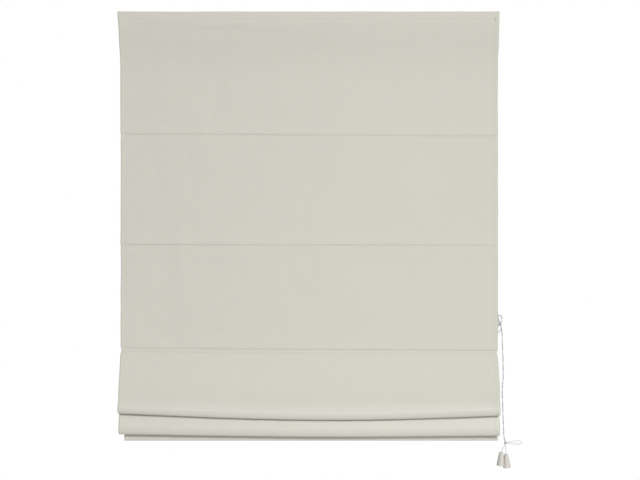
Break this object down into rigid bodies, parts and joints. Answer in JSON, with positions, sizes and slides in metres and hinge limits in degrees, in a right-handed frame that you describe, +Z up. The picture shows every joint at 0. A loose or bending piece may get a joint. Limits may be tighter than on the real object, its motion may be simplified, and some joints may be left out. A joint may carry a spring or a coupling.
{
  "type": "roman blind",
  "caption": "Roman blind: plain fabric panel drawn up into two hanging folds, on a clip-fixed headrail, with stiffening rods, lift cords, cord lock and tasselled pull cords.",
  "frame": {"origin": "on the ceiling plane, midway between the screw holes of the two mounting clips", "axes": "+X to the viewer's right along the headrail, +Y away from the viewer, +Z up"},
  "size_m": [1.0638, 0.0628, 1.2052],
  "materials": {
    "aluminium": "satin anodised",
    "white_plastic": "moulded, satin",
    "tape": "hook and loop tape",
    "pocket_tape": "woven tape",
    "steel": "zinc plated",
    "bar_steel": "white enamelled steel bar",
    "fabric": "matt plain weave, pale greige",
    "cord": "braided polyester",
    "tie": "plastic coated wire",
    "tassel": "moulded, satin",
    "ring": "moulded",
    "rod": "pultruded glass fibre"
  },
  "bodies": {
    "headrail": {"headrail": "aluminium", "rail_end_cap_left": "white_plastic", "rail_end_cap_right": "white_plastic", "hook_tape": "tape", "loop_tape": "tape", "mounting_clip_left": "steel", "mounting_clip_right": "steel", "cord_guide_left": "white_plastic", "cord_guide_right": "white_plastic", "cord_lock_housing": "white_plastic", "cord_lock_guide_pin": "steel", "cord_lock_pawl_pin": "steel", "cord_lock_screw": "steel", "fabric_panel": "fabric", "lift_cord_left": "cord", "lift_cord_right": "cord"},
    "lock_pawl": {"cord_lock_pawl": "steel"},
    "rod_one": {"rod_1": "rod", "rod_1_pocket": "pocket_tape", "rod_1_rings": "ring", "rod_1_tips": "white_plastic"},
    "rod_two": {"rod_2": "rod", "rod_2_pocket": "pocket_tape", "rod_2_rings": "ring", "rod_2_tips": "white_plastic"},
    "rod_three": {"rod_3": "rod", "rod_3_pocket": "pocket_tape", "rod_3_rings": "ring", "rod_3_tips": "white_plastic"},
    "lifted_stack": {"rod_4": "rod", "rod_4_pocket": "pocket_tape", "rod_4_rings": "ring", "rod_4_tips": "white_plastic", "rod_5": "rod", "rod_5_pocket": "pocket_tape", "rod_5_rings": "ring", "rod_5_tips": "white_plastic", "bottom_bar": "bar_steel", "bottom_bar_cap_left": "white_plastic", "bottom_bar_cap_right": "white_plastic", "cord_bead_left": "white_plastic", "cord_bead_right": "white_plastic", "lift_cord_knot_left": "cord", "lift_cord_knot_right": "cord"},
    "pull_cords": {"pull_cord_left": "cord", "pull_cord_right": "cord", "pull_cord_loop_knot": "cord", "cord_tie": "tie", "tassel_left": "tassel", "tassel_right": "tassel", "tassel_knot_left": "cord", "tassel_knot_right": "cord"}
  },
  "joints": [
    {"name": "lift", "type": "slide", "parent": "headrail", "child": "lifted_stack", "axis": [0, 0, 1], "range_m": [0, 0.5], "deforming": ["fabric_panel", "lift_cord_left", "lift_cord_right"]},
    {"name": "rod_one_lift", "type": "slide", "parent": "headrail", "child": "rod_one", "axis": [0, 0, 1], "range_m": [0, 0.1183]},
    {"name": "rod_two_lift", "type": "slide", "parent": "headrail", "child": "rod_two", "axis": [0, 0, 1], "range_m": [0, 0.3417]},
    {"name": "rod_three_lift", "type": "slide", "parent": "headrail", "child": "rod_three", "axis": [0, 0, 1], "range_m": [0, 0.491]},
    {"name": "pull", "type": "slide", "parent": "headrail", "child": "pull_cords", "axis": [0, 0, -1], "range_m": [0, 0.501], "deforming": ["pull_cord_left", "pull_cord_right"]},
    {"name": "lock_release", "type": "hinge", "parent": "headrail", "child": "lock_pawl", "pos_m": [0.462, 0.0062, -0.0135], "axis": [0, -1, 0], "range_deg": [0, 25]}
  ],
  "couplings": [
    {"joint": "rod_one_lift", "follows": "lift", "ratio": 0.23467},
    {"joint": "rod_two_lift", "follows": "lift", "ratio": 0.68136},
    {"joint": "rod_three_lift", "follows": "lift", "ratio": 0.97992},
    {"joint": "pull", "follows": "lift", "ratio": 1}
  ]
}
